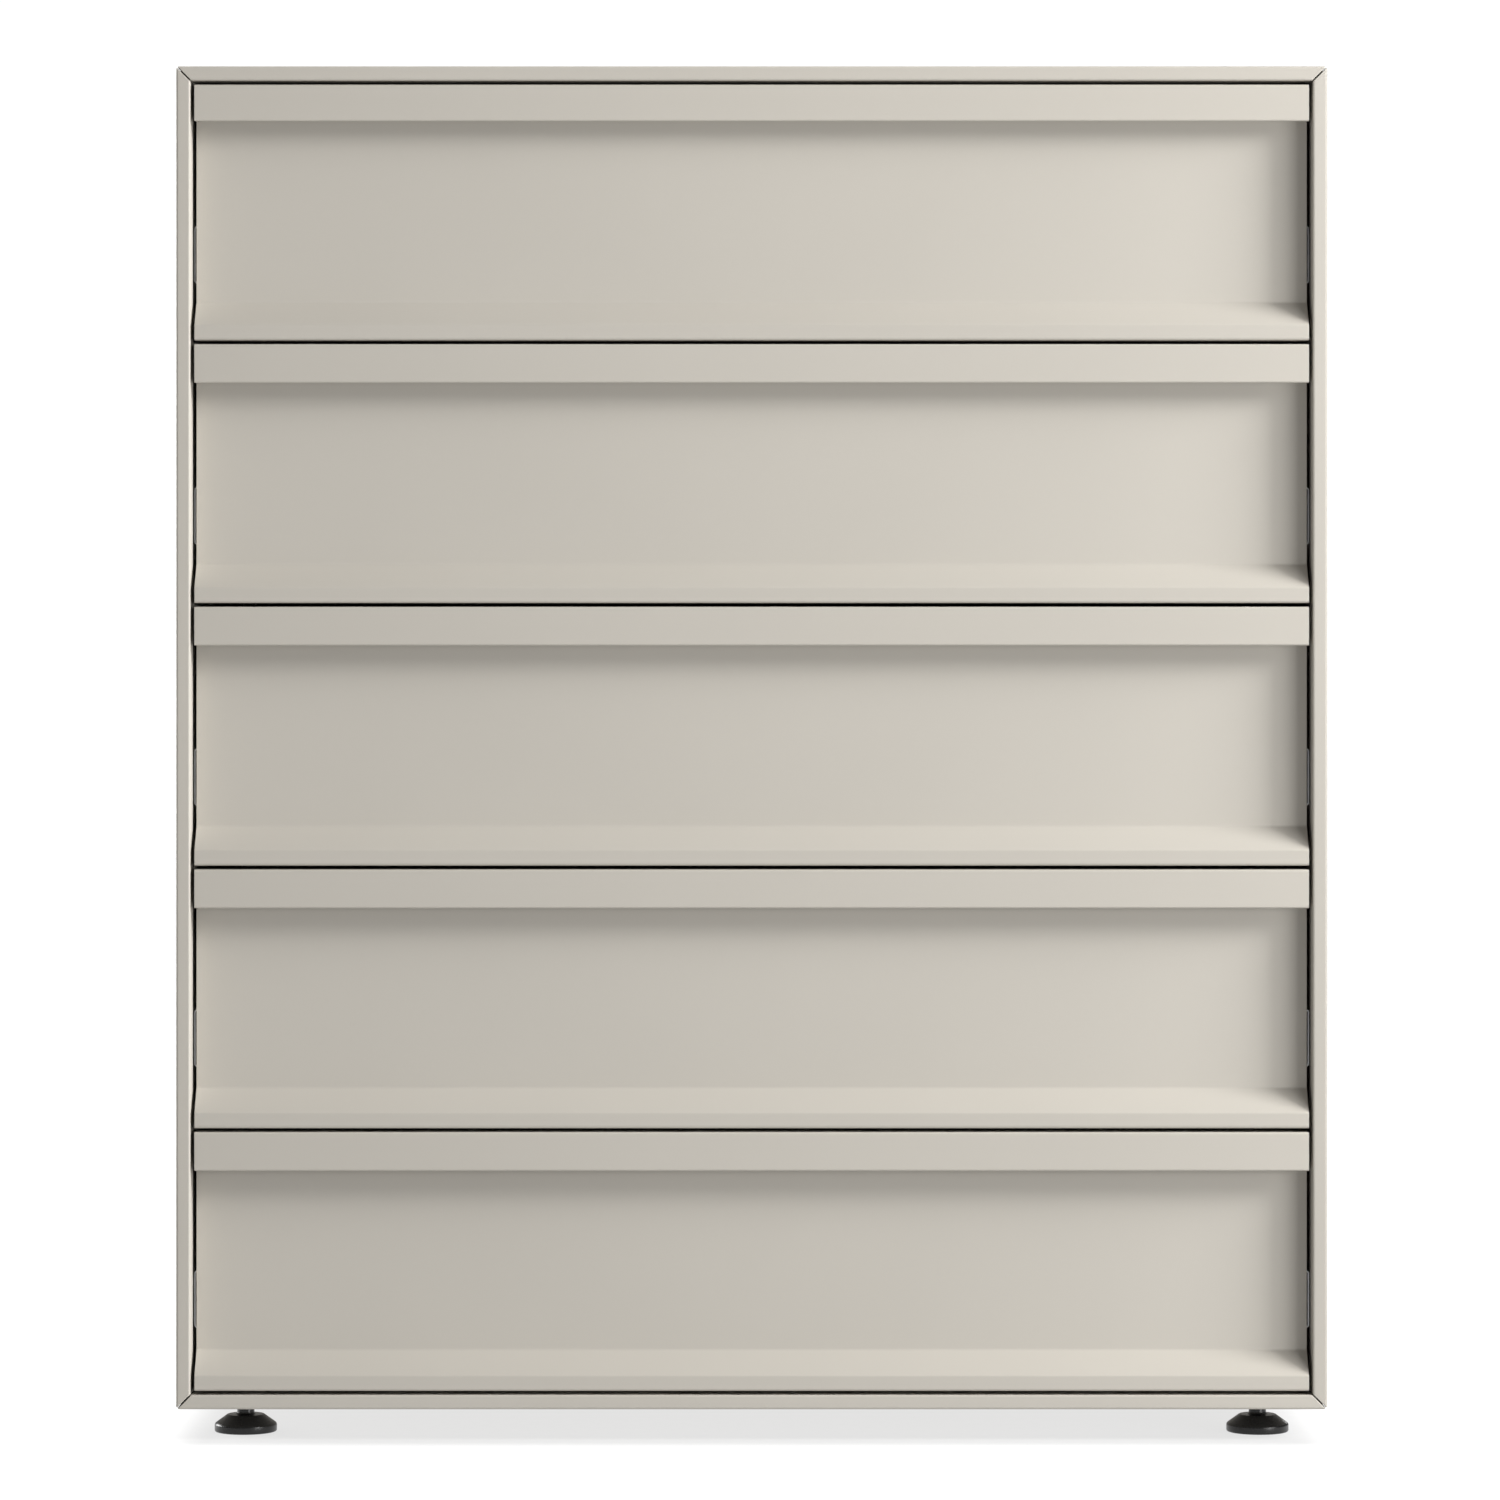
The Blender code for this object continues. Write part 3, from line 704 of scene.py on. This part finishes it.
BEARINGS = {}
for side, way in (("left", 1), ("right", -1)):
    cages, balls = [], []
    for v in (-19.55, 19.55):
        for y0 in (30, 330):
            c, b = cage_mesh("cage", way, v, 3.6, 8.4, y0, 150)
            cages.append((c, Matrix.Identity(4)))
            balls += b
    for v in (-14.3, 14.3):
        c, b = cage_mesh("cage", way, v, 5.2, 9.8, 40, 170)
        cages.append((c, Matrix.Identity(4)))
        balls += b
    BEARINGS[side] = (merged("cages_" + side, cages), merged("balls_" + side, balls))
    BEARINGS[side][0].set_sharp_from_angle(angle=math.radians(35))


for n in range(1, DRAWERS + 1):
    front_pieces(n)
    lo, hi = mm_box(f"drawer_{n}_tray")
    body = f"drawer_{n}"
    tray = piece(f"drawer_{n}_tray_pan", pan, (0, lo.y, lo.z), COAT_IN, body)
    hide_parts(f"drawer_{n}_tray")
    piece(f"drawer_{n}_tray_front_wall", wall, (0, lo.y + 0.1, lo.z), COAT_IN, body)
    piece(f"drawer_{n}_tray_back_wall", back_wall, (0, hi.y - 0.1, lo.z), COAT_IN, body)
    piece(f"drawer_{n}_tray_screws", tray_screws_mesh, (0, lo.y, lo.z), SCREW, body)
    for side, way in (("left", 1), ("right", -1)):
        olo, ohi = mm_box(f"drawer_{n}_{side}_slide_outer")
        x = olo.x if side == "left" else ohi.x
        place = (x, olo.y, (olo.z + ohi.z) / 2)
        for member, rides in (("outer", "case"), ("middle", f"drawer_{n}_runner"), ("inner", body)):
            m = piece(f"drawer_{n}_{side}_{member}_channel", SLIDES[side, member], place, ZINC, rides)
            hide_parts(f"drawer_{n}_{side}_slide_{member}")
        cages, balls = BEARINGS[side]
        piece(f"drawer_{n}_{side}_ball_cages", cages, place, ZINC, f"drawer_{n}_runner")
        piece(f"drawer_{n}_{side}_balls", balls, place, BALL, f"drawer_{n}_runner")

# ------------------------------------------------------------------ camera
PIXEL = 0.794
DISTANCE = 4.45
SHIFT_PX = 75
cam_data = bpy.data.cameras.new("camera")
cam = bpy.data.objects.new("camera", cam_data)
bpy.context.scene.collection.objects.link(cam)
cam_data.sensor_width = 36.0
cam_data.lens = DISTANCE / (PIXEL * MM) / 1500 * 36.0
cam_data.shift_y = -SHIFT_PX / 1500
centre_z = CASE_TOP * MM - (750 - 66) * PIXEL * MM
cam.location = (-0.0013, FRONT_Y * MM - DISTANCE, centre_z + SHIFT_PX * PIXEL * MM)
cam.rotation_euler = (math.radians(90), 0, 0)
cam_data.clip_start, cam_data.clip_end = 0.1, 60
bpy.context.scene.camera = cam


# ------------------------------------------------------------------ floor, world and lights
def floor_material():
    """Pale seamless floor: bright paper all round, with a painted shadow where the cabinet stands, made by turning its
    glow down there.
    """
    m, t, s = new_material("floor_pale")
    coord = t.nodes.new("ShaderNodeTexCoord")
    grain = t.nodes.new("ShaderNodeTexNoise")
    grain.inputs["Scale"].default_value = 90.0
    grain.inputs["Detail"].default_value = 4.0
    t.links.new(coord.outputs["Object"], grain.inputs["Vector"])
    c = ramp(t, grain.outputs["Fac"], [(0.3, (0.135, 0.135, 0.135)), (0.7, (0.145, 0.145, 0.145))])
    t.links.new(c.outputs[0], s.inputs["Base Color"])
    split = t.nodes.new("ShaderNodeSeparateXYZ")
    t.links.new(coord.outputs["Object"], split.inputs[0])
    # Painted shadow: distance from a patch round the cabinet, inside which the floor's glow is turned down.
    dx = maths(t, "MAXIMUM", maths(t, "SUBTRACT", maths(t, "ABSOLUTE", split.outputs[0], 0.0), PAINTED_SHADOW_PATCH[0]), 0.0)
    dy = maths(t, "MAXIMUM", maths(t, "SUBTRACT", maths(t, "ABSOLUTE", split.outputs[1], 0.0), PAINTED_SHADOW_PATCH[1]), 0.0)
    away = maths(t, "SQRT", maths(t, "ADD", maths(t, "MULTIPLY", dx, dx), maths(t, "MULTIPLY", dy, dy)), 0.0)
    # Painted shadow: the glow is low near the cabinet and rises to full brightness away from it.
    glow = t.nodes.new("ShaderNodeMapRange")
    glow.interpolation_type = "SMOOTHSTEP"
    glow.inputs["From Min"].default_value, glow.inputs["From Max"].default_value = 0.0, PAINTED_SHADOW_FADE
    glow.inputs["To Min"].default_value, glow.inputs["To Max"].default_value = PAINTED_SHADOW_GLOW, FLOOR_FAR
    t.links.new(away, glow.inputs["Value"])
    t.links.new(glow.outputs["Result"], s.inputs["Emission Strength"])
    s.inputs["Roughness"].default_value = 0.9
    s.inputs["Specular IOR Level"].default_value = 0.1
    s.inputs["Emission Color"].default_value = (1, 1, 1, 1)
    return m


# Patch, fade and low glow of the floor's painted shadow round the cabinet; the floor glows at full strength away from
# it.
PAINTED_SHADOW_PATCH, PAINTED_SHADOW_FADE, PAINTED_SHADOW_GLOW, FLOOR_FAR = (0.43, 0.33), 0.05, 0.71, 1.0
floor_mesh = bpy.data.meshes.new("floor")
_f = bmesh.new()
bmesh.ops.create_circle(_f, cap_ends=True, segments=96, radius=14.0)
_f.to_mesh(floor_mesh)
_f.free()
floor = bpy.data.objects.new("floor", floor_mesh)
bpy.context.scene.collection.objects.link(floor)
floor_mesh.materials.append(floor_material())
floor.visible_diffuse = False

BOUNCE, SKY = 0.6785, 0.15
world = bpy.data.worlds.new("studio")
bpy.context.scene.world = world
world.use_nodes = True
wt = world.node_tree
wt.nodes.clear()
w_out = wt.nodes.new("ShaderNodeOutputWorld")
w_light = wt.nodes.new("ShaderNodeBackground")
w_seen = wt.nodes.new("ShaderNodeBackground")
w_mix = wt.nodes.new("ShaderNodeMixShader")
w_path = wt.nodes.new("ShaderNodeLightPath")
w_light.inputs["Color"].default_value = (1, 1, 1, 1)
w_dir = wt.nodes.new("ShaderNodeTexCoord")
w_axes = wt.nodes.new("ShaderNodeSeparateXYZ")
w_level = wt.nodes.new("ShaderNodeMapRange")
w_level.inputs["From Min"].default_value, w_level.inputs["From Max"].default_value = -0.02, 0.02
w_level.inputs["To Min"].default_value, w_level.inputs["To Max"].default_value = BOUNCE, SKY
wt.links.new(w_dir.outputs["Generated"], w_axes.inputs[0])
wt.links.new(w_axes.outputs[2], w_level.inputs["Value"])
wt.links.new(w_level.outputs["Result"], w_light.inputs["Strength"])
w_seen.inputs["Strength"].default_value = 1.05
w_seen.inputs["Color"].default_value = (1, 1, 1, 1)
wt.links.new(w_path.outputs["Is Camera Ray"], w_mix.inputs[0])
wt.links.new(w_light.outputs[0], w_mix.inputs[1])
wt.links.new(w_seen.outputs[0], w_mix.inputs[2])
wt.links.new(w_mix.outputs[0], w_out.inputs["Surface"])


def area_light(name, place, target, width, height, power, colour=(1, 1, 1)):
    data = bpy.data.lights.new(name, "AREA")
    data.shape, data.size, data.size_y, data.energy, data.color = "RECTANGLE", width, height, power, colour
    o = bpy.data.objects.new(name, data)
    bpy.context.scene.collection.objects.link(o)
    o.location = place
    o.rotation_euler = (Vector(target) - Vector(place)).to_track_quat("-Z", "Y").to_euler()
    return o


def lit_only(light, name, objects):
    """Keep a lamp on some of the pieces, as a flag beside it would."""
    group = bpy.data.collections.new(name)
    for o in objects:
        group.objects.link(o)
    light.light_linking.receiver_collection = group


# The side that faces the lamps gets them flagged down, so that it isn't burnt out when it is looked at.
FLAGGED = 0.42
meshes = [o for o in bpy.data.objects if o.type == "MESH"]
turned_away = [o for o in meshes if o.name == "case_side_right" or any(k in o.name for k in ("_tray", "_channel", "_ball", "_end_plate", "_pull_end"))]
facing = [o for o in meshes if o not in turned_away]
FACE = (0.1, -0.33, 0.6)
for name, place, width, height, power in (
    ("key", (3.4, -1.4, 2.2), 1.2, 1.2, 210),
    ("low_fill", (2.5, -2.5, 0.5), 1.4, 1.0, 43),
    ("near_fill", (3.0, -2.0, 2.35), 1.6, 1.2, 23),
    ("far_fill", (4.2, -2.2, 2.4), 1.8, 1.2, 19),
):
    lamps = area_light(name, place, FACE, width, height, power), area_light(name + "_flagged", place, FACE, width, height, power * FLAGGED)
    for lamp, group, objects in zip(lamps, ("_open", "_soft"), (facing, turned_away)):
        lit_only(lamp, name + group, objects)
        lamp.visible_glossy = name != "key"
lit_only(area_light("edge_fill", (1.7, -3.3, 2.0), (0.45, -0.33, 0.7), 1.6, 1.2, 73), "edge_fill_soft", turned_away)
area_light("rear_left", (-3.0, 1.4, 0.9), (-0.2, 0.3, 0.55), 2.2, 1.2, 85)
area_light("rear", (0.8, 3.2, 1.2), (0, 0.33, 0.55), 2.0, 1.2, 45)
area_light("overhead", (-0.3, 0.9, 3.4), (0, 0.2, 0.8), 2.0, 2.0, 34)

bpy.context.scene.view_settings.view_transform = "Standard"
bpy.context.scene.view_settings.look = "None"
bpy.context.scene.view_settings.exposure = 0.0
bpy.context.scene.view_settings.gamma = 1.0
